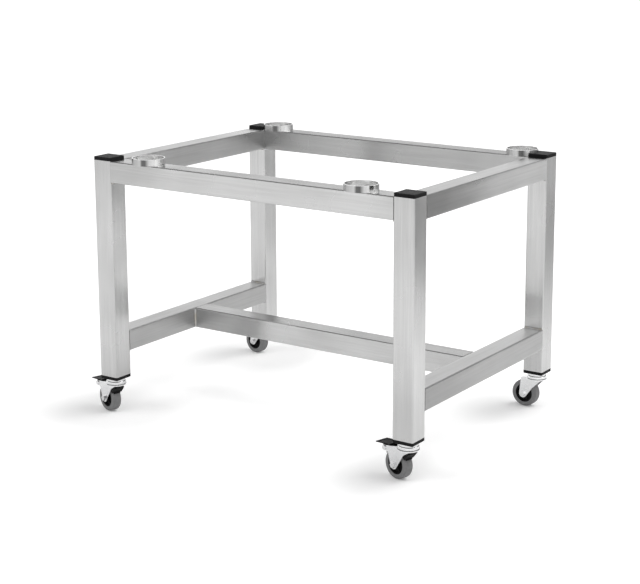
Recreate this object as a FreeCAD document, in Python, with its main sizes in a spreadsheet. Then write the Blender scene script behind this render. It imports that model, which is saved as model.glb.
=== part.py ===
"""A low oven stand: a welded frame of square stainless tube on four small swivel castors.

The frame is 690 mm long along X, 510 mm deep along Y and stands on Z = 0. The origin is on the floor
under the middle of the frame. Four short rings on the long top rails hold the feet of an oven. The two
front castors have a brake that a pedal works.
"""

import FreeCAD, Part
import math
import os
import Sketcher

SIZES = {
    # frame of square tube
    "frame_length": 690,
    "frame_depth": 510,
    "leg_length": 412.4,
    "tube_width": 40,
    "tube_wall": 1.5,
    "tube_corner": 2.5,
    "stretcher_rise": 44.7,
    "bead_radius": 2.5,
    # plastic plugs in the ends of the legs
    "flange_thickness": 6.3,
    "flange_chamfer": 0.7,
    "plug_floor": 2,
    "plug_depth": 22,
    "plug_wall": 2,
    "plug_clearance": 0.2,
    "lamella_thickness": 1.2,
    "lamella_spacing": 5,
    "lamella_reach": 1.3,
    "socket_boss_radius": 10,
    # rings for the feet of the oven
    "ring_diameter": 60,
    "ring_wall": 2,
    "ring_height": 11.5,
    "front_ring_inset": 115,
    "rear_ring_inset": 62,
    "ring_clearance": 0.3,
    # castors, measured from the floor and from the swivel axis
    "castor_height": 70,
    "castor_trail": 23,
    "wheel_diameter": 52,
    "tread_width": 18,
    "tread_rounding": 3.2,
    "core_diameter": 35.5,
    "core_face_radius": 15.5,
    "core_dish": 4,
    "hub_radius": 6.5,
    "hub_width": 21,
    "rib_thickness": 1.6,
    "rib_width": 12,
    "axle_radius": 3,
    "axle_head_radius": 4.6,
    "axle_head_height": 2.4,
    "nut_height": 4,
    "running_clearance": 0.06,
    "seat_clearance": 0.3,
    "fork_gap": 22,
    "fork_sheet": 2,
    "crown_underside": 57,
    "crown_radius": 19.5,
    "fork_tip_radius": 7.8,
    "fork_corner": 1.5,
    "fork_leading_edge": 14,
    "rear_trailing_edge": 27.5,
    "rear_hollow_radius": 30,
    "rear_hollow_reach": 19.5,
    "rear_hollow_height": 20,
    "front_trailing_edge": 20,
    "front_hollow_radius": 14,
    "front_hollow_reach": 10.8,
    "front_hollow_height": 38.5,
    "throat_radius": 5.5,
    "throat_reach": 41.3,
    "throat_height": 40.6,
    "stem_radius": 5,
    "stem_engagement": 24,
    "stem_flange_radius": 17,
    "stem_flange_height": 4.4,
    "rivet_radius": 7,
    "rivet_height": 2.6,
    "race_radius": 13,
    "ball_radius": 2.1,
    "ball_count": 14,
    "head_radius": 18.5,
    "head_sheet": 2,
    "head_height": 5.4,
    # brake of a front castor
    "pivot_reach": 46,
    "pivot_height": 50.8,
    "pivot_radius": 2.5,
    "pivot_head_radius": 4.2,
    "pivot_head_height": 1.6,
    "ear_radius": 4.7,
    "pedal_tip_reach": 68.5,
    "pedal_root_reach": 33,
    "pedal_width": 25.4,
    "pedal_thickness": 2.2,
    "pedal_tip_rise": 5.9,
    "pedal_root_rise": 9.2,
    "pedal_edge_radius": 0.8,
    "recess_depth": 0.7,
    "recess_margin": 4,
    "recess_start": 43,
    "web_half_length": 6,
    "web_corner": 0.4,
    "cam_radius": 4.2,
    "lobe_radius": 1.8,
    "lobe_reach": 4.3,
    "lobe_angle": 266,
    "strap_gap": 1,
    "strap_thickness": 1.5,
    "strap_width": 14,
    "strap_end_reach": 27.5,
    "strap_end_rise": 16.5,
    "shoe_top": 52.2,
    "shoe_corner": 0.8,
    "shoe_nose_reach": 10.5,
    "shoe_toe_reach": 0.2,
    "shoe_toe_height": 39.4,
    "shoe_heel_reach": 7,
}

# Direction, in degrees about Z, in which each wheel trails behind its swivel axis
TRAIL_ANGLES = {"front_left": 163.5, "front_right": 164.6, "rear_left": 171.4, "rear_right": 177.9}
SIDES = {"left": -1, "right": 1}
ENDS = {"front": -1, "rear": 1}
X_AXIS = FreeCAD.Vector(1, 0, 0)
Y_AXIS = FreeCAD.Vector(0, 1, 0)
Z_AXIS = FreeCAD.Vector(0, 0, 1)
NO_TURN = FreeCAD.Rotation(Z_AXIS, 0)
OVERSHOOT = 30

doc = FreeCAD.newDocument("OvenStand")
sheet = doc.addObject("Spreadsheet::Sheet", "Sizes")
for row, (alias, number) in enumerate(SIZES.items(), start=1):
    sheet.set(f"A{row}", alias)
    sheet.set(f"B{row}", str(number))
    sheet.setAlias(f"B{row}", alias)
doc.recompute()

subparts = []


def keep(piece, label):
    """Lists a finished piece under the name that its file gets."""
    piece.Label = label
    subparts.append(piece)
    return piece


def value(formula):
    """The number that a formula over the sheet's cells gives now."""
    result = sheet.evalExpression(formula)
    return float(getattr(result, "Value", result))


def bind(thing, **formulas):
    """Ties properties of an object to formulas over the sheet's cells."""
    for prop, formula in formulas.items():
        thing.setExpression(prop, formula)


def place(thing, x="0", y="0", z="0", turn=NO_TURN):
    """Puts an object at a point whose coordinates are formulas, turned by a rotation."""
    thing.Placement = FreeCAD.Placement(FreeCAD.Vector(0, 0, 0), turn)
    for axis, formula in (("x", x), ("y", y), ("z", z)):
        thing.setExpression(f"Placement.Base.{axis}", formula)
    return thing


# Sketches


def new_body(name):
    return doc.addObject("PartDesign::Body", name)


def new_sketch(body, name, plane="XY_Plane", offset=None):
    """A sketch on one of its body's own planes, lifted off it by a formula where one is given."""
    sketch = body.newObject("Sketcher::SketchObject", name)
    origin_plane = [f for f in body.Origin.OriginFeatures if f.Role == plane][0]
    sketch.AttachmentSupport = [(origin_plane, "")]
    sketch.MapMode = "FlatFace"
    if offset:
        sketch.setExpression("AttachmentOffset.Base.z", offset)
    return sketch


def outline(sketch, corners):
    """A closed anticlockwise outline of arcs joined by tangent lines.

    Each corner is the centre and radius of an arc, as formulas. A radius that starts with a minus sign
    makes the arc hollow instead of round.
    """
    centres, radii = [], []
    for x, y, radius in corners:
        centres.append(FreeCAD.Vector(value(x), value(y), 0))
        radii.append(value(radius))
    count = len(corners)
    starts, ends = [None] * count, [None] * count
    for i in range(count):
        j = (i + 1) % count
        run = centres[j] - centres[i]
        heading = math.atan2(run.y, run.x) - math.asin((radii[j] - radii[i]) / run.Length)
        normal = FreeCAD.Vector(-math.sin(heading), math.cos(heading), 0)
        starts[i] = centres[i] - normal * radii[i]
        ends[j] = centres[j] - normal * radii[j]
    arcs, lines = [], []
    for i in range(count):
        first, last = (ends[i], starts[i]) if radii[i] > 0 else (starts[i], ends[i])
        first_angle = math.atan2(first.y - centres[i].y, first.x - centres[i].x)
        last_angle = math.atan2(last.y - centres[i].y, last.x - centres[i].x)
        circle = Part.Circle(centres[i], Z_AXIS, abs(radii[i]))
        arcs.append(sketch.addGeometry(Part.ArcOfCircle(circle, first_angle, last_angle), False))
    for i in range(count):
        j = (i + 1) % count
        lines.append(sketch.addGeometry(Part.LineSegment(starts[i], ends[j]), False))
    for i in range(count):
        j = (i + 1) % count
        sketch.addConstraint(Sketcher.Constraint("Tangent", arcs[i], 2 if radii[i] > 0 else 1, lines[i], 1))
        sketch.addConstraint(Sketcher.Constraint("Tangent", lines[i], 2, arcs[j], 1 if radii[j] > 0 else 2))
    for i, (x, y, radius) in enumerate(corners):
        for kind, formula, number in (
            ("DistanceX", x, centres[i].x),
            ("DistanceY", y, centres[i].y),
        ):
            place_at = sketch.addConstraint(Sketcher.Constraint(kind, -1, 1, arcs[i], 3, number))
            sketch.setExpression(f"Constraints[{place_at}]", formula)
        size = sketch.addConstraint(Sketcher.Constraint("Radius", arcs[i], abs(radii[i])))
        sketch.setExpression(f"Constraints[{size}]", radius.lstrip("-"))


def rounded_square(sketch, width, corner):
    """A square of a given width round the sketch's origin, with round corners."""
    half = f"(({width}) / 2 - ({corner}))"
    outline(
        sketch,
        [
            (half, f"-{half}", corner),
            (half, half, corner),
            (f"-{half}", half, corner),
            (f"-{half}", f"-{half}", corner),
        ],
    )


def circle(sketch, radius, x="0", y="0"):
    """A circle whose radius and centre are formulas."""
    centre = FreeCAD.Vector(value(x), value(y), 0)
    ring = sketch.addGeometry(Part.Circle(centre, Z_AXIS, value(radius)), False)
    for kind, formula, number in (("DistanceX", x, centre.x), ("DistanceY", y, centre.y)):
        if number == 0:
            axis = -2 if kind == "DistanceX" else -1
            sketch.addConstraint(Sketcher.Constraint("PointOnObject", ring, 3, axis))
        else:
            at = sketch.addConstraint(Sketcher.Constraint(kind, -1, 1, ring, 3, number))
            sketch.setExpression(f"Constraints[{at}]", formula)
    size = sketch.addConstraint(Sketcher.Constraint("Radius", ring, value(radius)))
    sketch.setExpression(f"Constraints[{size}]", radius)


def pad(body, sketch, length, middle=False):
    feature = body.newObject("PartDesign::Pad", sketch.Name + "_pad")
    feature.Profile = sketch
    feature.Midplane = middle
    feature.setExpression("Length", length)
    doc.recompute()
    return feature


def pocket(body, sketch, length, middle=False, reverse=False):
    feature = body.newObject("PartDesign::Pocket", sketch.Name + "_pocket")
    feature.Profile = sketch
    feature.Midplane = middle
    feature.Reversed = reverse
    feature.setExpression("Length", length)
    doc.recompute()
    return feature


# Solids


def cylinder(name, radius, height, z="0"):
    """A plain cylinder on the Z axis, standing on the height z."""
    solid = doc.addObject("Part::Cylinder", name)
    bind(solid, Radius=radius, Height=height)
    return place(solid, z=z)


def cross_cylinder(name, radius, width, x, z, first_face=None):
    """A cylinder along Y, centred on Y = 0 unless its first face is given, at x and z."""
    solid = doc.addObject("Part::Cylinder", name)
    bind(solid, Radius=radius, Height=width)
    along_y = FreeCAD.Rotation(X_AXIS, -90)
    return place(solid, x=x, y=first_face or f"-({width}) / 2", z=z, turn=along_y)


def fuse(name, shapes):
    whole = doc.addObject("Part::MultiFuse", name)
    whole.Shapes = shapes
    whole.Refine = True
    return whole


def cut(name, base, tool):
    rest = doc.addObject("Part::Cut", name)
    rest.Base = base
    rest.Tool = tool
    rest.Refine = True
    return rest


def square_tube(label, length, x, y, z, turn=NO_TURN):
    """A length of the frame's square tube, along the Z axis before it is turned."""
    body = new_body(label)
    profile = new_sketch(body, label + "_profile")
    rounded_square(profile, "Sizes.tube_width", "Sizes.tube_corner")
    rounded_square(profile, "Sizes.tube_width - 2 * Sizes.tube_wall", "Sizes.tube_corner - Sizes.tube_wall")
    pad(body, profile, length)
    return keep(place(body, x=x, y=y, z=z, turn=turn), label)


# Heights and centre lines that several pieces share

LEG_FOOT = "(Sizes.castor_height + Sizes.flange_thickness)"
LEG_TOP = f"({LEG_FOOT} + Sizes.leg_length)"
LEG_X = "((Sizes.frame_length - Sizes.tube_width) / 2)"
LEG_Y = "((Sizes.frame_depth - Sizes.tube_width) / 2)"
RAIL_Z = f"({LEG_TOP} - Sizes.tube_width / 2)"
STRETCHER_Z = f"({LEG_FOOT} + Sizes.stretcher_rise + Sizes.tube_width / 2)"
LONG_RUN = "(Sizes.frame_length - 2 * Sizes.tube_width)"
SHORT_RUN = "(Sizes.frame_depth - 2 * Sizes.tube_width)"
ALONG_X = FreeCAD.Rotation(Y_AXIS, 90)
ALONG_Y = FreeCAD.Rotation(X_AXIS, -90)


def build_frame():
    """Four legs, a ring of top rails, and an H of stretchers near the floor."""
    for end, back in ENDS.items():
        for side, right in SIDES.items():
            square_tube(f"leg_{end}_{side}", "Sizes.leg_length", f"{right} * {LEG_X}", f"{back} * {LEG_Y}", LEG_FOOT)
        square_tube(f"top_rail_{end}", LONG_RUN, f"-{LONG_RUN} / 2", f"{back} * {LEG_Y}", RAIL_Z, ALONG_X)
    for side, right in SIDES.items():
        for name, height in (("top_rail", RAIL_Z), ("side_stretcher", STRETCHER_Z)):
            square_tube(f"{name}_{side}", SHORT_RUN, f"{right} * {LEG_X}", f"-{SHORT_RUN} / 2", height, ALONG_Y)
    square_tube("centre_stretcher", LONG_RUN, f"-{LONG_RUN} / 2", "0", STRETCHER_Z, ALONG_X)


def bead(name, x, y, z, turn):
    """A quarter-round weld bead as long as the flat of a tube's face."""
    solid = doc.addObject("Part::Cylinder", name)
    bind(solid, Radius="Sizes.bead_radius", Height="Sizes.tube_width - 2 * Sizes.tube_corner")
    solid.Angle = 90
    return place(solid, x=x, y=y, z=z, turn=turn)


def build_weld_beads():
    """Beads in the inner corners: under the top rails, over and under the side stretchers, beside the centre one."""
    flat = "(Sizes.tube_width / 2 - Sizes.tube_corner)"
    beads = []
    for side, right in SIDES.items():
        for end, back in ENDS.items():
            inner_x = f"{right} * {LONG_RUN} / 2"
            inner_y = f"{back} * {SHORT_RUN} / 2"
            under = f"({RAIL_Z} - Sizes.tube_width / 2)"
            # Each quarter opens away from the leg and from the rail that it joins
            lie_y = FreeCAD.Rotation(X_AXIS, -90)
            turn_long = FreeCAD.Rotation(Y_AXIS, 90 if right > 0 else 0).multiply(lie_y)
            beads.append(
                bead(f"bead_long_{end}_{side}", inner_x, f"{back} * {LEG_Y} - {flat}", under, turn_long)
            )
            lie_x = FreeCAD.Rotation(Y_AXIS, 90)
            turn_under = FreeCAD.Rotation(X_AXIS, 0 if back < 0 else -90).multiply(lie_x)
            turn_over = FreeCAD.Rotation(X_AXIS, 90 if back < 0 else 180).multiply(lie_x)
            start_x = f"{right} * {LEG_X} - {flat}"
            beads.append(bead(f"bead_short_{end}_{side}", start_x, inner_y, under, turn_under))
            low = f"({STRETCHER_Z} - Sizes.tube_width / 2)"
            high = f"({STRETCHER_Z} + Sizes.tube_width / 2)"
            beads.append(bead(f"bead_low_{end}_{side}", start_x, inner_y, low, turn_under))
            beads.append(bead(f"bead_high_{end}_{side}", start_x, inner_y, high, turn_over))
            quarter = {(1, 1): 90, (1, -1): 180, (-1, 1): 0, (-1, -1): 270}[(right, back)]
            upright = FreeCAD.Rotation(Z_AXIS, quarter)
            face_y = f"{back} * Sizes.tube_width / 2"
            beads.append(bead(f"bead_centre_{end}_{side}", inner_x, face_y, f"{STRETCHER_Z} - {flat}", upright))
    group = doc.addObject("Part::Compound", "weld_beads")
    group.Links = beads
    keep(group, "weld_beads")


# Plugs and rings


def plug_body(label, floor):
    """Flange, floor, hollow skirt and lamellae of a plug that enters a tube along -Z from Z = 0."""
    body = new_body(label)
    flange = new_sketch(body, label + "_flange")
    rounded_square(flange, "Sizes.tube_width", "Sizes.tube_corner")
    flange_pad = pad(body, flange, "Sizes.flange_thickness")
    top_edges = []
    for index, edge in enumerate(flange_pad.Shape.Edges, start=1):
        if abs(edge.BoundBox.ZMin - value("Sizes.flange_thickness")) < 1e-6:
            top_edges.append(f"Edge{index}")
    chamfer = body.newObject("PartDesign::Chamfer", label + "_chamfer")
    chamfer.Base = (flange_pad, top_edges)
    chamfer.setExpression("Size", "Sizes.flange_chamfer")
    bore = "(Sizes.tube_width - 2 * Sizes.tube_wall - 2 * Sizes.plug_clearance)"
    skirt_width = f"({bore} - 2 * Sizes.lamella_reach)"
    corner = "(Sizes.tube_corner - Sizes.tube_wall)"
    skirt = new_sketch(body, label + "_skirt")
    rounded_square(skirt, skirt_width, corner)
    skirt_pad = pad(body, skirt, "Sizes.plug_depth")
    skirt_pad.Reversed = True
    for index in range(3):
        depth = f"-(Sizes.lamella_spacing * {index + 1})"
        fin = new_sketch(body, f"{label}_lamella_{index + 1}", offset=depth)
        rounded_square(fin, bore, corner)
        pad(body, fin, "Sizes.lamella_thickness")
    hollow = new_sketch(body, label + "_hollow", offset=f"-{floor}")
    rounded_square(hollow, f"{skirt_width} - 2 * Sizes.plug_wall", corner)
    return body, hollow


def build_top_plug(end, side):
    """A plain plug for the top of a leg. A rear one is cut away where the ring stands on the leg's edge."""
    label = f"top_plug_{end}_{side}"
    body, hollow = plug_body(label, "Sizes.plug_floor")
    pocket(body, hollow, "Sizes.plug_depth")
    if end == "rear":
        away = -SIDES[side]
        scallop = new_sketch(body, label + "_scallop")
        reach = f"(({LEG_X} - (Sizes.frame_length / 2 - Sizes.rear_ring_inset)) * {away})"
        circle(scallop, "Sizes.ring_diameter / 2 + Sizes.ring_clearance", reach)
        pocket(body, scallop, "Sizes.flange_thickness", reverse=True)
    place(body, x=f"{SIDES[side]} * {LEG_X}", y=f"{ENDS[end]} * {LEG_Y}", z=LEG_TOP)
    keep(body, label)


def build_stem_socket(end, side):
    """The plug at the foot of a leg, with a boss that takes the castor's stem."""
    label = f"stem_socket_{end}_{side}"
    body, hollow = plug_body(label, "Sizes.plug_floor")
    circle(hollow, "Sizes.socket_boss_radius")
    pocket(body, hollow, "Sizes.plug_depth")
    bore = new_sketch(body, label + "_bore", offset="Sizes.flange_thickness")
    circle(bore, "Sizes.stem_radius + Sizes.running_clearance")
    pocket(body, bore, f"Sizes.flange_thickness + Sizes.plug_depth + {OVERSHOOT}")
    upside_down = FreeCAD.Rotation(X_AXIS, 180)
    place(body, x=f"{SIDES[side]} * {LEG_X}", y=f"{ENDS[end]} * {LEG_Y}", z=LEG_FOOT, turn=upside_down)
    keep(body, label)


def build_foot_ring(end, side):
    """A short length of pipe on a long rail, centred on the rail's width, that traps a foot of the oven."""
    label = f"foot_ring_{end}_{side}"
    body = new_body(label)
    section = new_sketch(body, label + "_section")
    circle(section, "Sizes.ring_diameter / 2")
    circle(section, "Sizes.ring_diameter / 2 - Sizes.ring_wall")
    pad(body, section, "Sizes.ring_height")
    inset = f"Sizes.{end}_ring_inset"
    across = f"{SIDES[side]} * (Sizes.frame_length / 2 - {inset})"
    place(body, x=across, y=f"{ENDS[end]} * {LEG_Y}", z=LEG_TOP)
    keep(body, label)


# Castors. Each piece is drawn with the swivel axis on Z and the wheel trailing along +X.

WHEEL_RADIUS = "(Sizes.wheel_diameter / 2)"
CHEEK_FACE = "(Sizes.fork_gap / 2 + Sizes.fork_sheet)"
CROWN_TOP = "(Sizes.crown_underside + Sizes.fork_sheet)"
BALL_Z = f"({CROWN_TOP} + Sizes.running_clearance + Sizes.ball_radius)"
FLANGE_FOOT = "(Sizes.castor_height - Sizes.stem_flange_height)"


def on_castor(piece, end, side):
    """Stands a castor's piece under its leg, turned the way its wheel trails."""
    turn = FreeCAD.Rotation(Z_AXIS, TRAIL_ANGLES[f"{end}_{side}"])
    return place(piece, x=f"{SIDES[side]} * {LEG_X}", y=f"{ENDS[end]} * {LEG_Y}", turn=turn)


def build_stem(end, side):
    """The stud: threaded end, broad flange, king pin, and the riveted head under the fork's crown."""
    label = f"castor_stem_{end}_{side}"
    rivet_foot = "(Sizes.crown_underside - Sizes.running_clearance - Sizes.rivet_height)"
    pin_length = f"Sizes.castor_height + Sizes.stem_engagement - {rivet_foot}"
    pin = cylinder(label + "_pin", "Sizes.stem_radius", pin_length, rivet_foot)
    flange = cylinder(label + "_flange", "Sizes.stem_flange_radius", "Sizes.stem_flange_height", FLANGE_FOOT)
    rivet = cylinder(label + "_rivet", "Sizes.rivet_radius", "Sizes.rivet_height", rivet_foot)
    whole = fuse(label, [pin, flange, rivet])
    keep(on_castor(whole, end, side), label)


def build_swivel_head(end, side):
    """The pressed cup that covers the balls, held between the stem's flange and the balls."""
    label = f"swivel_head_{end}_{side}"
    foot = f"({FLANGE_FOOT} - Sizes.head_height)"
    shell = cylinder(label + "_shell", "Sizes.head_radius", "Sizes.head_height", foot)
    hollow_height = f"{BALL_Z} + Sizes.ball_radius + Sizes.running_clearance - {foot} + {OVERSHOOT}"
    hollow = cylinder(label + "_hollow", "Sizes.head_radius - Sizes.head_sheet", hollow_height, f"{foot} - {OVERSHOOT}")
    bore = cylinder(label + "_bore", "Sizes.stem_radius", f"Sizes.head_height + {OVERSHOOT}", foot)
    cup = cut(label + "_cup", shell, fuse(label + "_inside", [hollow, bore]))
    doc.recompute()
    rim = max(e.BoundBox.ZMax for e in cup.Shape.Edges)
    rounded = doc.addObject("Part::Fillet", label)
    rounded.Base = cup
    edges = []
    for index, edge in enumerate(cup.Shape.Edges, start=1):
        outer = edge.BoundBox.XMax > value("Sizes.head_radius - Sizes.head_sheet / 4")
        if outer and abs(edge.BoundBox.ZMin - rim) < 1e-6:
            edges.append((index, value("Sizes.head_sheet"), value("Sizes.head_sheet")))
    rounded.Edges = edges
    keep(on_castor(rounded, end, side), label)


def build_balls(end, side):
    """A full ring of loose balls between the crown of the fork and the cup."""
    label = f"bearing_balls_{end}_{side}"
    balls = []
    for index in range(int(value("Sizes.ball_count"))):
        ball = doc.addObject("Part::Sphere", f"{label}_{index}")
        bind(ball, Radius="Sizes.ball_radius")
        angle = f"(360 * {index} / Sizes.ball_count)"
        place(ball, x=f"Sizes.race_radius * cos({angle})", y=f"Sizes.race_radius * sin({angle})", z=BALL_Z)
        balls.append(ball)
    group = doc.addObject("Part::Compound", label)
    group.Links = balls
    keep(on_castor(group, end, side), label)


def cheek_outline(end):
    """Corners of a fork's side, anticlockwise from the tip. A braked one has an ear for the pedal's pivot."""
    corner = "Sizes.fork_corner"
    top = f"({CROWN_TOP} - {corner})"
    tip = ("Sizes.castor_trail", WHEEL_RADIUS, "Sizes.fork_tip_radius")
    trailing = (f"(Sizes.{end}_trailing_edge - {corner})", top, corner)
    leading = (f"-(Sizes.fork_leading_edge - {corner})", top, corner)
    hollow_place = (f"-Sizes.{end}_hollow_reach", f"Sizes.{end}_hollow_height")
    hollow = (*hollow_place, f"-Sizes.{end}_hollow_radius")
    if end == "rear":
        return [tip, trailing, leading, hollow]
    throat = ("Sizes.throat_reach", "Sizes.throat_height", "-Sizes.throat_radius")
    ear = ("Sizes.pivot_reach", "Sizes.pivot_height", "Sizes.ear_radius")
    return [tip, throat, ear, trailing, leading, hollow]


def build_fork(end, side):
    """The pressed fork: two cheeks, a bridge between them, and a round crown for the balls."""
    label = f"fork_{end}_{side}"
    body = new_body(label)
    cheeks = new_sketch(body, label + "_cheeks", "XZ_Plane")
    outline(cheeks, cheek_outline(end))
    pad(body, cheeks, f"2 * {CHEEK_FACE}", middle=True)
    crown = new_sketch(body, label + "_crown", offset="Sizes.crown_underside")
    circle(crown, "Sizes.crown_radius")
    pad(body, crown, "Sizes.fork_sheet")
    gap = new_sketch(body, label + "_gap", "XZ_Plane")
    reach = f"(Sizes.pivot_reach + Sizes.ear_radius + {OVERSHOOT})"
    sharp = "0.2"
    low, high = f"-{OVERSHOOT}", f"(Sizes.crown_underside - {sharp})"
    outline(gap, [(reach, low, sharp), (reach, high, sharp), (f"-{reach}", high, sharp), (f"-{reach}", low, sharp)])
    pocket(body, gap, "Sizes.fork_gap", middle=True)
    if end == "front":
        # The bridge stops short of the pedal, so that the ears stand free
        mouth = new_sketch(body, label + "_mouth", "XZ_Plane")
        start = f"(Sizes.front_trailing_edge + {sharp})"
        ceiling = f"({CROWN_TOP} + {OVERSHOOT})"
        outline(
            mouth,
            [(reach, low, sharp), (reach, ceiling, sharp), (start, ceiling, sharp), (start, low, sharp)],
        )
        pocket(body, mouth, "Sizes.fork_gap", middle=True)
    bore = new_sketch(body, label + "_bore", offset=CROWN_TOP)
    circle(bore, "Sizes.stem_radius + Sizes.running_clearance")
    pocket(body, bore, "2 * Sizes.fork_sheet")
    holes = new_sketch(body, label + "_holes", "XZ_Plane")
    circle(holes, "Sizes.axle_radius + Sizes.running_clearance", "Sizes.castor_trail", WHEEL_RADIUS)
    if end == "front":
        circle(holes, "Sizes.pivot_radius + Sizes.running_clearance", "Sizes.pivot_reach", "Sizes.pivot_height")
    pocket(body, holes, f"2 * {CHEEK_FACE} + {OVERSHOOT}", middle=True)
    keep(on_castor(body, end, side), label)


def build_wheel(end, side):
    """The black core with its dished faces and ribs, and the grey tyre round it."""
    label = f"wheel_core_{end}_{side}"
    at = {"x": "Sizes.castor_trail", "z": WHEEL_RADIUS}
    rim = cross_cylinder(label + "_rim", "Sizes.core_diameter / 2", "Sizes.tread_width - 2", **at)
    shapes = []
    for face, sign in (("near", 1), ("far", -1)):
        first = f"(Sizes.tread_width / 2 - 1 - Sizes.core_dish)" if sign > 0 else f"-(Sizes.tread_width / 2 - 1 + {OVERSHOOT})"
        depth = f"Sizes.core_dish + {OVERSHOOT}"
        shapes.append(
            cross_cylinder(f"{label}_dish_{face}", "Sizes.core_face_radius", depth, first_face=first, **at)
        )
    disc = cut(label + "_disc", rim, fuse(label + "_dishes", shapes))
    hub = cross_cylinder(label + "_hub", "Sizes.hub_radius", "Sizes.hub_width", **at)
    ribs = []
    for index in range(3):
        rib = doc.addObject("Part::Box", f"{label}_rib_{index}")
        bind(rib, Length="2 * Sizes.core_face_radius + 1", Width="Sizes.rib_width", Height="Sizes.rib_thickness")
        turned = FreeCAD.Rotation(Y_AXIS, 60 * index)
        corner = FreeCAD.Vector(value("Sizes.core_face_radius + 0.5"), value("Sizes.rib_width / 2"), value("Sizes.rib_thickness / 2"))
        rib.Placement = FreeCAD.Placement(FreeCAD.Vector(0, 0, 0), turned).multiply(
            FreeCAD.Placement(corner * -1, NO_TURN)
        )
        rib.Placement.Base = rib.Placement.Base + FreeCAD.Vector(value(at["x"]), 0, value(at["z"]))
        ribs.append(rib)
    solid = fuse(label + "_solid", [disc, hub] + ribs)
    bore = cross_cylinder(
        label + "_bore", "Sizes.axle_radius + Sizes.running_clearance", f"Sizes.hub_width + {OVERSHOOT}", **at
    )
    keep(on_castor(cut(label, solid, bore), end, side), label)

    label = f"tyre_{end}_{side}"
    blank = cross_cylinder(label + "_blank", WHEEL_RADIUS, "Sizes.tread_width", **at)
    doc.recompute()
    edges = []
    for index, edge in enumerate(blank.Shape.Edges, start=1):
        if edge.Closed:
            edges.append((index, value("Sizes.tread_rounding"), value("Sizes.tread_rounding")))
    tread = doc.addObject("Part::Fillet", label + "_tread")
    tread.Base = blank
    tread.Edges = edges
    seat = cross_cylinder(label + "_seat", "Sizes.core_diameter / 2", f"Sizes.tread_width + {OVERSHOOT}", **at)
    keep(on_castor(cut(label, tread, seat), end, side), label)


def hexagon_nut(name, flats, height, first_face, x, z):
    """A hexagon nut along Y, at x and z."""
    nut = doc.addObject("Part::Prism", name)
    nut.Polygon = 6
    bind(nut, Circumradius=f"({flats}) / sqrt(3)", Height=height)
    return place(nut, x=x, y=first_face, z=z, turn=FreeCAD.Rotation(X_AXIS, -90))


def build_axle(end, side):
    """The wheel's bolt, with a round head on one cheek and a nut on the other."""
    label = f"axle_{end}_{side}"
    at = {"x": "Sizes.castor_trail", "z": WHEEL_RADIUS}
    shank = cross_cylinder(label + "_shank", "Sizes.axle_radius", f"2 * {CHEEK_FACE} + Sizes.nut_height", first_face=f"-{CHEEK_FACE}", **at)
    head = cross_cylinder(
        label + "_head", "Sizes.axle_head_radius", "Sizes.axle_head_height", first_face=f"-({CHEEK_FACE} + Sizes.axle_head_height)", **at
    )
    doc.recompute()
    edges = []
    for index, edge in enumerate(head.Shape.Edges, start=1):
        if edge.Closed and edge.BoundBox.YMax < -value(CHEEK_FACE) - 0.5:
            edges.append((index, value("Sizes.axle_head_height") * 0.6, value("Sizes.axle_head_height") * 0.6))
    domed = doc.addObject("Part::Fillet", label + "_dome")
    domed.Base = head
    domed.Edges = edges
    nut = hexagon_nut(label + "_nut", "2 * Sizes.axle_head_radius", "Sizes.nut_height", CHEEK_FACE, **at)
    keep(on_castor(fuse(label, [shank, domed, nut]), end, side), label)


def pedal_top(reach):
    """Height of the pedal's upper face at a distance from the swivel axis."""
    drop = "(Sizes.pedal_root_rise - Sizes.pedal_tip_rise)"
    share = f"(({reach}) - Sizes.pedal_root_reach) / (Sizes.pedal_tip_reach - Sizes.pedal_root_reach)"
    return f"(Sizes.pivot_height + Sizes.pedal_root_rise - {drop} * {share})"


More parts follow.
